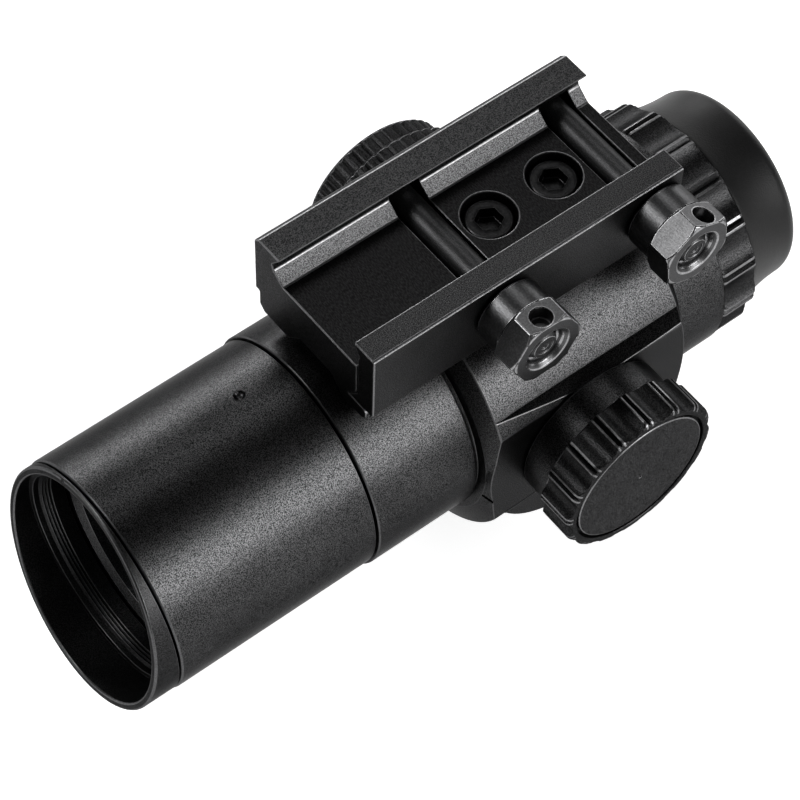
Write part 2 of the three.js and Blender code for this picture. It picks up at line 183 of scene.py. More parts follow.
def prism(name, section, y0, y1, place=None):
    """A section of (x, z) corners, drawn out along Y."""
    n = len(section)
    verts = [(x, y, z) for y in (y0, y1) for x, z in section]
    faces = [tuple(range(n)), tuple(reversed(range(n, 2 * n)))]
    faces += [(i, (i + 1) % n, n + (i + 1) % n, n + i) for i in range(n)]
    return make(name, verts, faces, place)


def block(x0, x1, y0, y1, z0, z1):
    return prism("tool", [(x0, z0), (x1, z0), (x1, z1), (x0, z1)], y0, y1)


def rod(direction, centre, r, h0, h1, seg=64):
    return lathe("tool", [(0, h0), (r, h0), (r, h1), (0, h1)], facing(direction, centre), seg, 0)


def slot_cutter(place, half_width, half_length, h0, h1):
    """A long box across the axis of a turned piece, for a screwdriver or coin slot."""
    w, n = half_width, half_length
    corners = ((-w, -n), (w, -n), (w, n), (-w, n))
    sides = [(0, 1, 2, 3), (7, 6, 5, 4), (0, 4, 5, 1), (1, 5, 6, 2), (2, 6, 7, 3), (3, 7, 4, 0)]
    return make("tool", [(x, h, z) for h in (h0, h1) for x, z in corners], sides, place)


def convex(points):
    bm = bmesh.new()
    for p in points:
        bm.verts.new(Vector(p) * MM)
    bmesh.ops.convex_hull(bm, input=bm.verts)
    mesh = bpy.data.meshes.new("tool")
    bmesh.ops.recalc_face_normals(bm, faces=bm.faces)
    if bm.calc_volume(signed=True) < 0:
        bmesh.ops.reverse_faces(bm, faces=bm.faces)
    bm.to_mesh(mesh)
    bm.free()
    obj = bpy.data.objects.new("tool", mesh)
    bpy.context.scene.collection.objects.link(obj)
    return obj


def settle(obj):
    """Applies every modifier."""
    graph = bpy.context.evaluated_depsgraph_get()
    mesh = bpy.data.meshes.new_from_object(obj.evaluated_get(graph))
    obj.modifiers.clear()
    obj.data = mesh
    return obj


def carve(obj, *steps):
    """steps: ("DIFFERENCE" | "UNION" | "INTERSECT", tool), applied in order."""
    for operation, tool in steps:
        mod = obj.modifiers.new("cut", "BOOLEAN")
        mod.operation = operation
        mod.object = tool
        mod.solver = "EXACT"
        settle(obj)
        bpy.data.objects.remove(tool)
    bm = bmesh.new()
    bm.from_mesh(obj.data)
    bmesh.ops.remove_doubles(bm, verts=bm.verts, dist=0.01 * MM)
    bmesh.ops.dissolve_degenerate(bm, edges=bm.edges, dist=0.01 * MM)
    bm.to_mesh(obj.data)
    bm.free()
    return obj


def break_edges(obj, width, angle):
    """Bevels the edges sharper than angle and gives the bevels the lighter edge material, a painted
    highlight.
    """
    mod = obj.modifiers.new("edges", "BEVEL")
    mod.width = width * MM
    mod.segments = 2
    mod.limit_method = "ANGLE"
    mod.angle_limit = math.radians(angle)
    mod.use_clamp_overlap = False
    mod.miter_outer = "MITER_ARC"
    mod.material = EDGE
    return settle(obj)


# ---------------------------------------------------------------- materials
def nodes_of(name):
    mat = bpy.data.materials.new(name)
    mat.use_nodes = True
    tree = mat.node_tree
    shader = tree.nodes["Principled BSDF"]
    coords = tree.nodes.new("ShaderNodeTexCoord")
    return mat, tree, shader, coords.outputs["Object"]


def noise(tree, vector, size_mm, detail=2.0, rough=0.5, stretch=None):
    tex = tree.nodes.new("ShaderNodeTexNoise")
    tex.inputs["Scale"].default_value = 1000.0 / size_mm
    tex.inputs["Detail"].default_value = detail
    tex.inputs["Roughness"].default_value = rough
    if stretch:
        mapping = tree.nodes.new("ShaderNodeMapping")
        mapping.inputs["Scale"].default_value = stretch
        tree.links.new(vector, mapping.inputs["Vector"])
        vector = mapping.outputs["Vector"]
    tree.links.new(vector, tex.inputs["Vector"])
    return tex.outputs["Fac"]


def ramp(tree, value, low, high, out_low, out_high):
    node = tree.nodes.new("ShaderNodeMapRange")
    node.inputs["From Min"].default_value = low
    node.inputs["From Max"].default_value = high
    node.inputs["To Min"].default_value = out_low
    node.inputs["To Max"].default_value = out_high
    tree.links.new(value, node.inputs["Value"])
    return node.outputs["Result"]


def tint(tree, factor, dark, light):
    mix = tree.nodes.new("ShaderNodeMix")
    mix.data_type = "RGBA"
    mix.inputs["A"].default_value = (*dark, 1)
    mix.inputs["B"].default_value = (*light, 1)
    tree.links.new(factor, mix.inputs["Factor"])
    return mix.outputs["Result"]


def bump(tree, height, strength, depth_mm):
    node = tree.nodes.new("ShaderNodeBump")
    node.inputs["Strength"].default_value = strength
    node.inputs["Distance"].default_value = depth_mm * MM
    tree.links.new(height, node.inputs["Height"])
    return node.outputs["Normal"]


def surface(
    name, dark, light, rough, spread, metal, grain_mm, grain, low=0.45, specular=0.5, stretch=None
):
    """Speckled colour from dark to light, cloudy gloss (rough +- spread) and a fine grain."""
    mat, tree, shader, at = nodes_of(name)
    link = tree.links.new
    speck = noise(tree, at, grain_mm, 1.0, 0.6, stretch)
    cloud = noise(tree, at, 9.0, 4.0, 0.6)
    mixed = tree.nodes.new("ShaderNodeMath")
    mixed.operation = "MULTIPLY"
    link(ramp(tree, speck, 0.38, 0.66, low, 1.0), mixed.inputs[0])
    link(ramp(tree, cloud, 0.3, 0.7, 0.75, 1.0), mixed.inputs[1])
    link(tint(tree, mixed.outputs["Value"], dark, light), shader.inputs["Base Color"])
    link(ramp(tree, cloud, 0.3, 0.7, rough - spread, rough + spread), shader.inputs["Roughness"])
    shader.inputs["Metallic"].default_value = metal
    shader.inputs["Specular IOR Level"].default_value = specular
    if metal == 1.0:
        shader.inputs["Specular Tint"].default_value = (0.45, 0.45, 0.45, 1)
    if grain > 0:
        fine = bump(tree, speck, grain, grain_mm * 0.5)
        link(fine, shader.inputs["Normal"])
    return mat


def grey(v):
    return (v, v, v * 1.02)


BLASTED = surface("blasted_anodise", grey(0.008), grey(0.09), 0.33, 0.03, 1.0, 0.17, 0.35, 0.0)
SATIN = surface("satin_anodise", grey(0.008), grey(0.052), 0.40, 0.04, 1.0, 0.18, 0.35, 0.1)
MACHINED = surface("machined_anodise", grey(0.01), grey(0.09), 0.36, 0.03, 1.0, 0.17, 0.4, 0.1)
# Lighter materials for rounded edges and ridge lands: a painted highlight along the edges.
EDGE_HIGHLIGHT_BRIGHT = surface("bright_painted_highlight", grey(0.08), grey(0.24), 0.34, 0.05, 1.0, 0.25, 0.15)
EDGE_HIGHLIGHT_DIM = surface("dim_painted_highlight", grey(0.04), grey(0.13), 0.34, 0.05, 1.0, 0.25, 0.15)
# A darker copy of the machined finish for the floor of the clamp channel: painted shade, with the
# milling grain drawn out along one direction.
SHADED_SEAT = surface(
    "milled_seat_painted_shade", grey(0.004), grey(0.024), 0.34, 0.03, 1.0, 0.17, 0.3, 0.2, stretch=(0.3, 1, 1)
)
# A lighter copy of the machined finish for the up-facing V wall of the clamp: painted light.
LIT_WALL = surface("clamp_wall_painted_light", grey(0.015), grey(0.15), 0.36, 0.03, 1.0, 0.17, 0.4, 0.1)
INNER = surface("inner_black", grey(0.010), grey(0.03), 0.22, 0.05, 1.0, 0.4, 0.08)
STEEL = surface("black_steel", grey(0.045), grey(0.11), 0.34, 0.05, 1.0, 0.3, 0.12)
SHANK = surface("bolt_shank", grey(0.03), grey(0.075), 0.44, 0.03, 1.0, 0.2, 0.2, 0.3)
SCREW = surface("screw_head", grey(0.008), grey(0.028), 0.36, 0.05, 1.0, 0.3, 0.2)
# Lighter steel for the bevelled steel edges: a painted highlight.
EDGE_HIGHLIGHT_STEEL = surface("steel_painted_highlight", grey(0.16), grey(0.36), 0.26, 0.06, 1.0, 0.5, 0.1)
RUBBER = surface("rubber", grey(0.004), grey(0.009), 0.42, 0.03, 0.0, 0.25, 0.3, 0.45, 0.14)
PLASTIC = surface("black_plastic", grey(0.01), grey(0.02), 0.5, 0.05, 0.0, 0.4, 0.2)
BRASS = surface("brass", (0.45, 0.30, 0.12), (0.7, 0.5, 0.22), 0.3, 0.08, 1.0, 0.6, 0.1)
CELL = surface("cell_can", grey(0.5), grey(0.75), 0.24, 0.06, 1.0, 0.5, 0.08)


def glass_material():
    mat, tree, shader, at = nodes_of("coated_glass")
    link = tree.links.new
    smear = noise(tree, at, 6.0, 3.0)
    link(tint(tree, ramp(tree, smear, 0.3, 0.7, 0, 1), (0.34, 0.40, 0.46), (0.44, 0.50, 0.55)),
         shader.inputs["Base Color"])
    link(ramp(tree, smear, 0.3, 0.7, 0.0, 0.012), shader.inputs["Roughness"])
    shader.inputs["Transmission Weight"].default_value = 0.9
    shader.inputs["IOR"].default_value = 1.52
    return mat


GLASS = glass_material()


def finish_piece(obj, body, nodes, main, highlight_paint=None, angle=34):
    """Materials, smooth faces, the CAD nodes it stands for, and the body it rides on; the edge slot
    takes a lighter material, a painted highlight.
    """
    mesh = obj.data
    mesh.materials[0] = main
    mesh.materials[EDGE] = highlight_paint or main
    for poly in mesh.polygons:
        poly.use_smooth = True
    mesh.set_sharp_from_angle(angle=math.radians(angle))
    mod = obj.modifiers.new("normals", "WEIGHTED_NORMAL")
    mod.mode = "FACE_AREA"
    mod.weight = 100
    mod.keep_sharp = True
    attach(obj, body)
    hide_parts(*nodes)
    return obj


def anodised(obj, node, body="sight_body", main=BLASTED, highlight_paint=EDGE_HIGHLIGHT_BRIGHT, angle=34):
    return finish_piece(obj, body, [node], main, highlight_paint, angle)


# ---------------------------------------------------------------- camera
BACK = Vector((0.4274, -0.3587, 0.8299)).normalized()
SIDE = Vector((0.6429, 0.7660, 0.0)).normalized()
TOP = BACK.cross(SIDE).normalized()
ROLL = math.radians(2.271)
cam_x = SIDE * math.cos(ROLL) + TOP * math.sin(ROLL)
cam_y = TOP * math.cos(ROLL) - SIDE * math.sin(ROLL)
camera = bpy.data.objects.new("camera", bpy.data.cameras.new("camera"))
camera.data.sensor_width = 36.0
camera.data.lens = 132.7
camera.data.clip_start = 0.01
camera.data.clip_end = 20.0
camera.matrix_world = Matrix.Translation(Vector((205.61, -195.63, 362.75)) * MM) @ Matrix(
    (cam_x, cam_y, BACK)
).transposed().to_4x4()
bpy.context.scene.collection.objects.link(camera)
bpy.context.scene.camera = camera

# ---------------------------------------------------------------- objective end
HOOD_SLANT = 0.171
HOOD_SKEW = 0.0286
HOOD_Y = -85.85


def slanted(r, h, a):
    """Points drawn in front of the hood's rear face move with its slanted mouth."""
    if h > -84.0:
        return r, h
    return r, h + HOOD_SLANT * r * math.sin(a) - HOOD_SKEW * r * math.cos(a)


hood = lathe(
    "hood",
    [
        (19.15, HOOD_Y, 0.3),
        (20.47, HOOD_Y, 0.35),
        (20.47, -81.85, 0.1),
        (18.6, -81.85, 0),
        (18.6, -76.8, 0),
        (17.7, -76.8, 0.15),
        (17.7, -79.2, 0.15),
        (18.1, -79.35, 0.02),
        (17.8, -79.65, 0.1),
        (18.1, -79.9, 0.02),
        (17.8, -80.2, 0.1),
        (18.1, -80.5, 0.02),
        (17.8, -80.8, 0.1),
        (18.3, -81.2, 0.05),
        (18.3, -82.2, 0.12),
        (19.15, -82.35, 0.05),
    ],
    seg=216,
    shape=slanted,
)
NOTCH_ANGLE = math.radians(-22)  # from the rail side, round the tube
rim_notch = lathe(
    "tool",
    [(0, 18), (0.45, 18), (0.45, 21.5), (0, 21.5)],
    Matrix.Translation((0, -82.6, AXIS_Z))
    @ Matrix.Rotation(NOTCH_ANGLE, 4, "Y")
    @ facing("+Z", (0, 0, 0)),
    24,
    0,
)
carve(hood, ("DIFFERENCE", rim_notch))
anodised(hood, "hood_ring", main=SATIN, highlight_paint=EDGE_HIGHLIGHT_DIM)

sleeve = lathe(
    "sleeve",
    [
        (18.9, -81.5, 0.1),
        (SLEEVE_R, -81.5, 0.35),
        (SLEEVE_R, -44.1, 0.18),
        (17.9, -44.1, 0.1),
        (17.9, -54.9, 0),
        (15.8, -54.9, 0),
        (15.8, -67.4, 0),
        (17.6, -67.4, 0),
        (17.6, -76.4, 0),
        (18.9, -76.4, 0),
    ],
    seg=216,
)
dimple = lathe(
    "tool",
    [(0, -10.7), (0.5, -10.6), (0.85, -10.3), (1.0, -9.96), (1.3, -9.4), (1.3, -8), (0, -8)],
    facing("+Z", (-3.08, -52.67, -2.1)),
    32,
    0,
)
sleeve = carve(sleeve, ("DIFFERENCE", dimple))
anodised(sleeve, "sleeve", highlight_paint=EDGE_HIGHLIGHT_DIM)

retainer = lathe(
    "objective_ring",
    [(15.9, -75.4, 0.1), (17.3, -76.4, 0.1), (17.3, -73.2, 0), (15.9, -73.6, 0)],
    seg=144,
)
finish_piece(
    retainer, "sight_body", ["objective_retainer"], MACHINED, EDGE_HIGHLIGHT_BRIGHT
)

crown = lathe(
    "front_lens",
    [(0, -75.0), (4, -74.9, 0), (8, -74.55, 0), (12, -73.95, 0), (15, -73.3, 0), (17.2, -72.7, 0),
     (17.2, -71.5, 0), (12, -70.4, 0), (6, -69.9, 0), (0, -69.7)],
    seg=96,
)
finish_piece(crown, "sight_body", ["objective_crown_lens"], GLASS)

# ---------------------------------------------------------------- housing
FLAT = 23.8
housing = lathe(
    "housing",
    [
        (0, -54.5),
        (17.6, -54.5, 0.2),
        (17.6, -43.75, 0),
        (TUBE_R, -43.75, 0.18),
        (TUBE_R, -24.3, 0.12),
        (20.5, -24.3, 0),
        (20.5, -23.5, 0),
        (22.4, -23.5, 0.15),
        (HOUSING_R, -22.1, 0.3),
        (HOUSING_R, 15.2, 0.3),
        (21.5, 18.3, 0.5),
        (REAR_TUBE_R, 18.9, 0.4),
        (REAR_TUBE_R, 28.5, 0.2),
        (0, 28.5),
    ],
    seg=180,
)
FAR = 60  # beyond every surface of the housing
SLOT_CEILING = -18.05


def side_slot():
    """The undercut beside the windage flat: its ceiling is level and it opens towards the rear."""
    return convex(
        [
            (22.0, -22.2, SLOT_CEILING),
            (30, -22.2, SLOT_CEILING),
            (30, -22.2, -19.5),
            (20.6, -4.5, SLOT_CEILING),
            (20.6, -4.5, -20.2),
            (30, -4.5, -22.8),
            (19.5, 20, SLOT_CEILING),
            (19.5, 20, -19.6),
            (30, 20, SLOT_CEILING),
            (30, 20, -22.0),
        ]
    )


FLAT_EDGE_Z = AXIS_Z + math.sqrt(HOUSING_R**2 - FLAT**2)
windage_pad = carve(
    rod("+X", (0, TURRET_Y, AXIS_Z), 20, 10, FLAT - 0.003, 120),
    ("DIFFERENCE", block(0, 40, -FAR, FAR, FLAT_EDGE_Z - 0.02, 0)),
)
bore = lathe(
    "tool",
    [
        (0, -60),
        (BORE_R, -60),
        (BORE_R, 18.4),
        (EYEPIECE_BORE_R, 18.4),
        (EYEPIECE_BORE_R, 35),
        (0, 35),
    ],
    BARREL,
    120,
    0,
)
housing = carve(
    housing,
    ("DIFFERENCE", block(FLAT, FAR, -FAR, FAR, -90, 0)),
    ("DIFFERENCE", block(-FAR, -FLAT, -FAR, FAR, -90, 0)),
    ("DIFFERENCE", block(-FAR, FAR, -FAR, FAR, -110, AXIS_Z - FLAT)),
    ("DIFFERENCE", side_slot()),
    ("UNION", windage_pad),
    ("UNION", rod("-Z", (0, TURRET_Y, AXIS_Z), 20, 10, FLAT - 0.003, 120)),
    ("UNION", rod("-X", (0, DIAL_Y, AXIS_Z), 18, 10, FLAT - 0.003, 120)),
    ("DIFFERENCE", block(-14.6, 12.9, -24.4, 19, -12.1, 0)),
    ("DIFFERENCE", rod("+X", (0, TURRET_Y, AXIS_Z), 6.3, 8, 30, 48)),
    ("DIFFERENCE", rod("-Z", (0, TURRET_Y, AXIS_Z), 6.3, 8, 30, 48)),
    ("DIFFERENCE", rod("-X", (0, DIAL_Y, AXIS_Z), 8, 8, 30, 48)),
    ("DIFFERENCE", bore),
)
break_edges(housing, 0.13, 24)
anodised(housing, "housing", highlight_paint=EDGE_HIGHLIGHT_DIM)

# ---------------------------------------------------------------- turned grips
GROOVE, LAND = 0.027, 0.05  # half the groove and half the whole ridge, in radians


def fluted_radius(angle, crest, depth, phase):
    """Wide hollow flutes; each ridge has a narrow groove along its crest."""
    step = 2 * math.pi / FLUTES
    a = (angle - phase) % step
    a = min(a, step - a)
    if a < GROOVE:
        return crest - 0.55 * (1 - a / GROOVE)
    if a < LAND:
        return crest
    half = step / 2 - LAND
    s = (step / 2 - a) / half
    return crest - 0.12 - (depth - 0.12) * (1 - s * s)


def grip(name, outline, place, crest, depth, phase, inner):
    """outline: (r, h) from the open side to the face; inner: the hollow, back to the start."""
    step = 2 * math.pi / FLUTES
    marks = [0, GROOVE / 2, GROOVE, (GROOVE + LAND) / 2, LAND]
    flute = [LAND + (step - 2 * LAND) * k / 14 for k in range(1, 14)]
    period = marks + flute + [step - m for m in reversed(marks[1:])]
    angles = [phase + i * step + a for i in range(FLUTES) for a in period]
    profile = soften(outline + inner, 0.0)
    rings = []
    verts = []
    outer = len(outline)
    for i, (r, h, _) in enumerate(profile):
        if r < 1e-6:
            rings.append([len(verts)])
            verts.append((0, h, 0))
            continue
        ring = []
        for a in angles:
            rr = min(r, fluted_radius(a, crest, depth, phase)) if i < outer else r
            ring.append(len(verts))
            verts.append((rr * math.cos(a), h, rr * math.sin(a)))
        rings.append(ring)
    faces, lands = [], []
    n = len(angles)
    on_land = {k for k, a in enumerate(period) if GROOVE - 1e-6 <= min(a, step - a) <= LAND + 1e-6}
    closed = profile[0][0] > 0
    for i in range(len(rings) if closed else len(rings) - 1):
        r0, r1 = rings[i], rings[(i + 1) % len(rings)]
        for j in range(n):
            m = (j + 1) % n
            if len(r0) == 1 and len(r1) == 1:
                continue
            # The flat lands on the ridge crests take the lighter edge material, a painted
            # highlight.
            if i + 1 < outer and j % len(period) in on_land and m % len(period) in on_land:
                lands.append(len(faces))
            if len(r0) == 1:
                faces.append((r0[0], r1[m], r1[j]))
            elif len(r1) == 1:
                faces.append((r0[j], r0[m], r1[0]))
            else:
                faces.append((r0[j], r0[m], r1[m], r1[j]))
    return make(name, verts, faces, place, lands)


def rim_rows(r_edge, r_top, h0, h1, count=4):
    """A rounded shoulder from (r_edge, h0) to (r_top, h1)."""
    rows = []
    for k in range(count + 1):
        t = math.pi / 2 * k / count
        rows.append((r_top + (r_edge - r_top) * math.cos(t), h0 + (h1 - h0) * math.sin(t)))
    return rows


focus = grip(
    "focus_grip",
    [(20.3, 28.8), (20.6, 29.1), (20.7, 29.4), (20.7, 32.5), (20.7, 35.3)]
    + rim_rows(20.7, 19.6, 35.3, 36.1, 3),
    BARREL,
    20.7,
    1.15,
    math.radians(110),
    [(17.9, 36.1), (17.9, 28.8)],
)
anodised(focus, "focus_ring", "eyepiece", SATIN, angle=28)


def turret(side, place, d):
    plate = lathe(
        f"{side}_boss",
        [
            (3.3, 17.5, 0),
            (6, 17.5, 0),
            (6, FLAT + 0.3, 0),
            (d["plate"], FLAT + 0.3, 0.3),
            (d["plate"], d["plate_top"], 0.15),
            (d["collar"], d["plate_top"], 0),
            (d["collar"], d["collar_top"], 0.2),
            (d["well"], d["collar_top"], 0),
            (d["well"], d["plate_top"], 0),
            (3.3, d["plate_top"], 0),
        ],
        place,
        120,
    )
    anodised(plate, f"{side}_turret")
    head = d["well"] - 0.4
    top = d["collar_top"] - 0.5
    screw = lathe(
        f"{side}_screw",
        [(0, 13.8), (2.6, 13.8, 0), (3, 14.2, 0), (3, d["plate_top"] + 0.3, 0),
         (head, d["plate_top"] + 0.3, 0.1), (head, top, 0.2), (0, top)],
        place,
        72,
    )
    carve(screw, ("DIFFERENCE", slot_cutter(place, 0.6, 12, top - 0.9, top + 1)))
    finish_piece(screw, f"{side}_screw", [f"{side}_adjuster"], STEEL, EDGE_HIGHLIGHT_STEEL)
    h0, h1, top = d["cap_bottom"], d["grip_top"], d["cap_top"]
    cap_r, face = d["cap"], d["face"]
    cap = grip(
        f"{side}_grip",
        [(cap_r - 0.25, h0), (cap_r, h0 + 0.25), (cap_r, (h0 + h1) / 2), (cap_r, h1 - 0.3)]
        + rim_rows(cap_r, cap_r - 1.0, h1 - 0.3, top, 5),
        place,
        cap_r,
        1.0,
        d["phase"],
        [
            (face + 0.12, top),
            (face, top - 0.12),
            (face, d["face_floor"]),
            (0, d["face_floor"]),
            (0, d["ceiling"]),
            (d["collar"] + 0.3, d["ceiling"]),
            (d["collar"] + 0.3, h0),
        ],
    )
    anodised(cap, f"{side}_cap", f"{side}_cover", SATIN, angle=28)
    inset = lathe(
        f"{side}_face",
        [
            (0, d["face_floor"] + 0.2),
            (face - 0.5, d["face_floor"] + 0.2, 0),
            (face - 0.5, top - 0.12, 0.25),
            (0.3, top - 0.12, 0.08),
            (0.12, top - 0.4, 0.05),
            (0, top - 0.4),
        ],
        place,
        144,
    )
    anodised(inset, f"{side}_cap_plate", f"{side}_cover", BLASTED, EDGE_HIGHLIGHT_BRIGHT)


turret(
    "windage",
    RIGHT,
    {
        "plate": 13.55,
        "plate_top": 29.7,
        "collar": 11.4,
        "collar_top": 33.2,
        "well": 8,
        "cap": 15.05,
        "cap_bottom": 30,
        "grip_top": 36.1,
        "cap_top": 36.95,
        "ceiling": 34.2,
        "face": 13.2,
        "face_floor": 35.9,
        # RIGHT takes the angle from +X of the drawing to -Y of the object
        "phase": math.radians(1.5),
    },
)
turret(
    "elevation",
    BELOW,
    {
        "plate": 12,
        "plate_top": 26.8,
        "collar": 9.2,
        "collar_top": 29.6,
        "well": 6.5,
        "cap": 13.2,
        "cap_bottom": 27.1,
        "grip_top": 31.8,
        "cap_top": 32.5,
        "ceiling": 30.6,
        "face": 11.4,
        "face_floor": 31.5,
        "phase": 0,
    },
)


# ---------------------------------------------------------------- brightness dial
def knurl(teeth, low, high, depth):
    def shape(r, h, a):
        if not low < h < high or r < 12.9:
            return r, h
        wave = 0.5 - 0.5 * math.cos(a * teeth)
        return r - depth * wave**5, h

    return shape


dial_base = lathe(
    "dial_foot",
    [(0, 16.5), (7.7, 16.5, 0.1), (7.7, 24.1, 0), (13.5, 24.1, 0), (13.5, 25.3, 0.1), (0, 25.3)],
    LEFT,
    96,
)
anodised(dial_base, "dial_base")
TEETH = 40
dial = lathe(
    "dial",
    [(0, 25.6), (13.8, 25.6, 0), (13.8, 24.4, 0), (15.6, 24.4, 0.1), (15.9, 24.8, 0.1),
     (15.9, 28, 0), (15.9, 30.7, 0.15), (15.4, 31.2, 0.15), (12.7, 31.2, 0), (12.7, 28.2, 0),
     (0, 28.2)],
    LEFT,
    TEETH * 8,
    shape=knurl(TEETH, 24.5, 31.1, 0.4),
)
anodised(dial, "brightness_dial", "dial", SATIN, angle=40)
battery_cap = lathe(
    "battery_lid",
    [(0, 33.6), (10.5, 33.6, 0), (10.5, 29.9, 0), (12.4, 29.9, 0), (12.4, 31.5, 0),
     (13.75, 31.5, 0.1), (13.95, 31.8, 0.1), (13.95, 33.5, 0), (13.95, 35.3, 0.15),
     (13.4, 35.85, 0.2), (0, 35.85)],
    LEFT,
    TEETH * 8,
    shape=knurl(TEETH, 31.6, 35.5, 0.35),
)
carve(battery_cap, ("DIFFERENCE", slot_cutter(LEFT, 0.9, 8, 34.65, 37)))
anodised(battery_cap, "battery_cap", "battery_cover", SATIN, angle=40)

# ---------------------------------------------------------------- eyepiece
CUP_R, CUP_FLARE = 17.7, 1.3
CUP_FRONT, CUP_BEND, CUP_WALL = 36.4, 45.6, 2.35
flare = [
    (
        CUP_R + CUP_FLARE * (1 - k / 10) ** 2,
        CUP_FRONT + (CUP_BEND - CUP_FRONT) * k / 10,
        0.3 if k == 0 else 0,
    )
    for k in range(10)
]
lip = [
    (
        CUP_R - CUP_WALL + CUP_WALL * math.cos(math.pi * k / 16),
        CUP_BEND + 2.4 * math.sin(math.pi * k / 16),
        0,
    )
    for k in range(17)
]
eyecup = lathe(
    "eyecup_rubber",
    [(14.8, CUP_FRONT, 0)] + flare + lip + [(13.0, 43.9, 0), (14.8, 43.9, 0)],
    seg=192,
)
finish_piece(eyecup, "eyepiece", ["eyecup"], RUBBER, angle=50)
cell = lathe(
    "eyepiece_tube",
    [(12, 19, 0.1), (17.6, 19, 0.2), (17.6, 36.2, 0), (14.5, 36.2, 0), (14.5, 43.6, 0.2),
     (12.9, 43.6, 0.2), (12.9, 36.8, 0), (12, 36.8, 0)],
    seg=144,
)
# The rounded edges take the lighter satin finish, a painted highlight.
finish_piece(cell, "eyepiece", ["eyepiece_cell"], INNER, SATIN)
lens = lathe(
    "rear_lens",
    [(0, 37.1), (7, 37.3, 0), (12.6, 38.1, 0), (12.6, 40.4, 0), (9.5, 41.05, 0), (7, 41.6, 0),
     (3.5, 41.95, 0), (0, 42.1)],
    seg=96,
)
finish_piece(lens, "eyepiece", ["eye_lens"], GLASS)
eye_ring = lathe(
    "eye_ring", [(11.2, 42.0, 0.1), (12.6, 41.0, 0), (12.6, 43.4, 0.1), (11.2, 43.4, 0.2)], seg=120
)
# The rounded edges take the lighter satin finish, a painted highlight.
finish_piece(eye_ring, "eyepiece", ["eye_lens_retainer"], INNER, SATIN)

# ---------------------------------------------------------------- clamp
CLAMP = (-40.4, 20.4)
base = prism(
    "clamp_base",
    [
        (-15.3, 4.6),
        (-15.3, -7.4),
        (-14.3, -7.4),
        (-14.3, -10.6),
        (-13.1, -11.8),
        (-6.95, -11.8),
        (-3.95, -8.8),
        (3.95, -8.8),
        (6.95, -11.8),
        (11.8, -11.8),
        (12.6, -11),
        (12.6, -9.8),
        (12, -9.2),
        (8, -9.2),
        (10.2, -6.7),
        (10.2, 0),
        (-8.1, 0),
        (-10.5, 1.9),
        (-10.8, 3.1),
        (-8.87, 5.7),
        (-14.2, 5.7),
    ],
    *CLAMP,
)
cuts = []
for y in BOLT_YS:
    cuts.append(("DIFFERENCE", block(-12, 11, y - 2.95, y + 2.95, -3.9, 3.05)))
    cuts.append(("DIFFERENCE", rod("+X", (0, y, BOLT_Z), BOLT_HOLE_R, -16, -11, 40)))
    cuts.append(("DIFFERENCE", rod("+X", (0, y, BOLT_Z), 4.5, -16, -13.6, 56)))
for y in SCREW_YS:
    cuts.append(("DIFFERENCE", rod("+Z", (0, y, 0), SCREW_POCKET_R, -5.3, 1, 64)))
    cuts.append(("DIFFERENCE", rod("+Z", (0, y, 0), SCREW_HOLE_R, -10, -5, 32)))
carve(base, *cuts)
break_edges(base, 0.24, 20)
anodised(base, "mount_base", main=MACHINED)
base.data.materials.append(SHADED_SEAT)
base.data.materials.append(LIT_WALL)
for face in base.data.polygons:
    # The channel floor takes the darker seat copy, painted shade.
    if face.normal.z > 0.99 and abs(face.center.z) < 0.1 * MM:
        face.material_index = SEAT_SHADE_FACES
    # The up-facing V wall takes the lighter wall copy, painted light.
    elif 0.5 < face.normal.x < 0.75 and face.normal.z > 0.6 and 0 < face.center.z < 2 * MM:
        face.material_index = WALL_LIGHT_FACES

jaw = prism(
    "clamp_bar",
    [
        (10.5, -6.58),
        (8.47, -8.9),
        (14, -8.9),
        (14.3, -8.6),
        (14.3, 5.35),
        (14.05, 5.6),
        (9.5, 5.6),
        (10.9, 3.3),
        (10.5, 2.3),
    ],
    *CLAMP,
)
carve(jaw, *[("DIFFERENCE", rod("+X", (0, y, BOLT_Z), BOLT_HOLE_R, 9, 16, 40)) for y in BOLT_YS])
break_edges(jaw, 0.24, 20)
anodised(jaw, "clamp_jaw", "jaw", MACHINED)

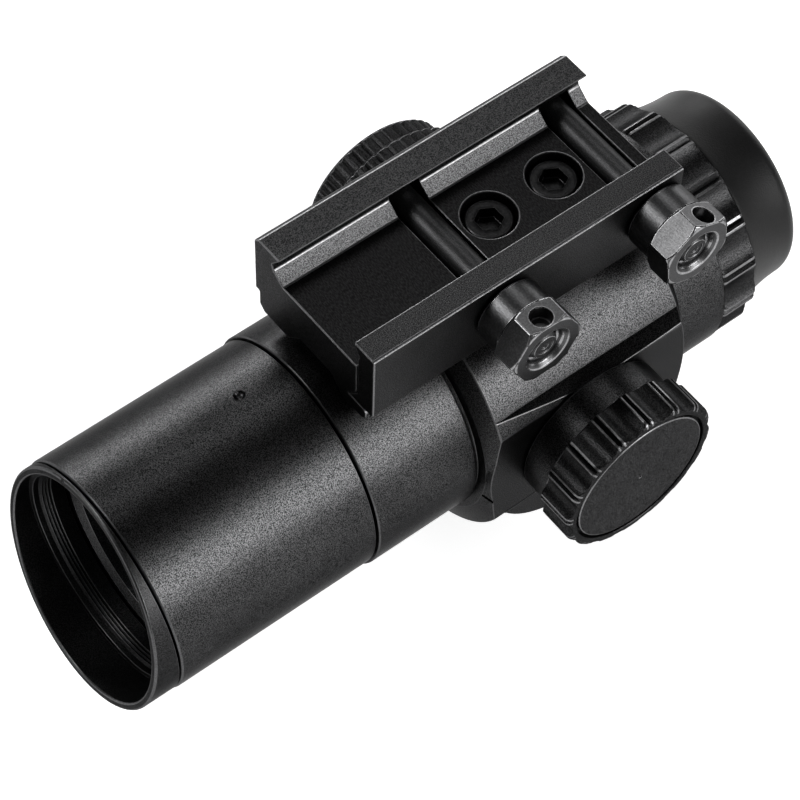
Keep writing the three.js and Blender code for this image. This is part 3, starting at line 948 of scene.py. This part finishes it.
for y, end, turn in zip(BOLT_YS, ("front", "rear"), (0.0, -0.4)):
    here = facing("+X", (0, y, BOLT_Z))
    bolt = lathe(
        f"cross_bar_{end}",
        [(0, -15.1), (4.2, -15.1, 0.25), (4.2, -13.7, 0), (BOLT_R, -13.7, 0), (BOLT_R, 23.5, 0),
         (2.1, 24, 0.1), (1.5, 24, 0.05), (1.35, 23.8, 0.05), (0.7, 23.85, 0.05),
         (0.5, 23.6, 0.05), (0, 23.6)],
        here,
        64,
    )
    drive = lathe("tool", [(0, -17), (2.0, -17), (2.0, -13.9), (0, -13.9)], here, 6, 0)
    carve(bolt, ("DIFFERENCE", drive))
    finish_piece(bolt, "sight_body", [f"cross_bolt_{end}"], SHANK, EDGE_HIGHLIGHT_STEEL)

    spin = here @ Matrix.Rotation(turn, 4, "Y")
    corner = NUT_APOTHEM / math.cos(math.pi / 6)
    hexagon = lathe("hex", [(0, 19.6), (corner, 19.6), (corner, 24.6), (0, 24.6)], spin, 6, 0)
    cone = lathe(
        "tool",
        [(0, 19.5), (NUT_APOTHEM, 19.5), (corner + 0.1, 20.4), (corner + 0.1, 24.0), (6.1, 24.65),
         (0, 24.65)],
        here,
        96,
        0,
    )
    collar = lathe(
        "tool", [(0, 14.6), (5.5, 14.6), (5.9, 15.0), (5.9, 19.8), (0, 19.8)], here, 96, 0
    )
    mouth = lathe(
        "tool",
        [(0, 10), (BOLT_HOLE_R, 10), (BOLT_HOLE_R, 22.9), (3.2, 23.1), (3.5, 23.9), (4.2, 24.65),
         (4.2, 26), (0, 26)],
        here,
        72,
        0,
    )
    across = Matrix.Translation((0, 22.4, 0)) @ Matrix.Rotation(math.pi / 2, 4, "X")
    bar_hole = lathe("tool", [(0, 3.4), (1.8, 3.4), (1.8, 9), (0, 9)], spin @ across, 40, 0)
    nut = carve(
        hexagon,
        ("INTERSECT", cone),
        ("UNION", collar),
        ("DIFFERENCE", mouth),
        ("DIFFERENCE", bar_hole),
    )
    nut.name = f"nut_{end}"
    break_edges(nut, 0.2, 22)
    finish_piece(nut, f"nut_{end}", [f"clamp_nut_{end}"], STEEL, EDGE_HIGHLIGHT_STEEL)

for y, end in zip(SCREW_YS, ("front", "rear")):
    here = facing("+Z", (0, y, 0))
    screw = lathe(
        f"cap_screw_{end}",
        [(0, -15.3), (2.4, -15.3, 0), (2.4, -5, 0), (3.9, -5, 0.1), (3.9, -1.0, 0.35), (0, -1.0)],
        here,
        80,
    )
    socket = lathe("tool", [(0, -3.6), (2.35, -3.2), (2.35, 0), (0, 0)], here, 6, 0)
    carve(screw, ("DIFFERENCE", socket))
    break_edges(screw, 0.1, 30)
    # The bevelled edges take the lighter nut steel, a painted highlight.
    finish_piece(screw, "sight_body", [f"base_screw_{end}"], SCREW, STEEL)

# ---------------------------------------------------------------- pieces kept from the CAD model
KEPT = {
    "objective_flint_lens": GLASS,
    "prism_carrier": INNER,
    "half_penta_prism": GLASS,
    "roof_prism": GLASS,
    "reticle_holder": INNER,
    "reticle_glass": GLASS,
    "reticle_led": PLASTIC,
    "field_lens": GLASS,
    "battery_contact": BRASS,
    "battery": CELL,
}
for name, material in KEPT.items():
    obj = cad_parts[name]
    for material_slot in obj.material_slots:
        material_slot.material = material

# ---------------------------------------------------------------- studio
floor = bpy.data.objects.new("floor", bpy.data.meshes.new("floor"))
floor.data.from_pydata(
    [(x, y, FLOOR_Z * MM) for x, y in ((-3, -3), (3, -3), (3, 3), (-3, 3))], [], [(0, 1, 2, 3)]
)
bpy.context.scene.collection.objects.link(floor)
# The paper glows, and more so beyond the reach of the lights, so that it stays white to its edge.
paper, tree, shader, at = nodes_of("paper")
shader.inputs["Base Color"].default_value = (0.9, 0.9, 0.9, 1)
shader.inputs["Roughness"].default_value = 0.9
shader.inputs["Emission Color"].default_value = (1, 1, 1, 1)
reach = tree.nodes.new("ShaderNodeVectorMath")
reach.operation = "LENGTH"
tree.links.new(at, reach.inputs[0])
glow = ramp(tree, reach.outputs["Value"], 0.2, 0.8, 0.68, 1.0)
tree.links.new(glow, shader.inputs["Emission Strength"])
floor.data.materials.append(paper)


def softbox(name, toward, distance, width, height, power):
    """An area light at distance in a direction, facing the middle of the object."""
    middle = Vector((0, -20, -30)) * MM
    direction = Vector(toward).normalized()
    data = bpy.data.lights.new(name, "AREA")
    data.shape = "RECTANGLE"
    data.size = width
    data.size_y = height
    data.energy = power
    data.spread = math.radians(50)
    light = bpy.data.objects.new(name, data)
    light.location = middle + direction * distance
    light.rotation_euler = direction.to_track_quat("Z", "Y").to_euler()
    bpy.context.scene.collection.objects.link(light)
    return light


softbox("right", (0.87, 0.36, 0.41), 0.9, 1.0, 0.60, 1.6)
softbox("left", (-0.86, 0.36, 0.36), 0.9, 1.0, 0.26, 0.65)
softbox("top", (-0.38, 0.35, 0.85), 1.2, 0.4, 0.4, 0.10)
softbox("front", (-0.43, -0.56, 0.71), 1.1, 0.35, 0.35, 0.3)
softbox("rear", (-0.35, 0.92, 0.18), 1.1, 1.0, 0.5, 0.4)

world = bpy.data.worlds.new("studio")
bpy.context.scene.world = world
world.use_nodes = True
tree = world.node_tree
background = tree.nodes["Background"]
background.inputs["Color"].default_value = (1, 1, 1, 1)
path = tree.nodes.new("ShaderNodeLightPath")
level = tree.nodes.new("ShaderNodeMapRange")
level.inputs["To Min"].default_value = 0.05
level.inputs["To Max"].default_value = 1.0
tree.links.new(path.outputs["Is Camera Ray"], level.inputs["Value"])
tree.links.new(level.outputs["Result"], background.inputs["Strength"])
bpy.context.scene.view_settings.view_transform = "Standard"
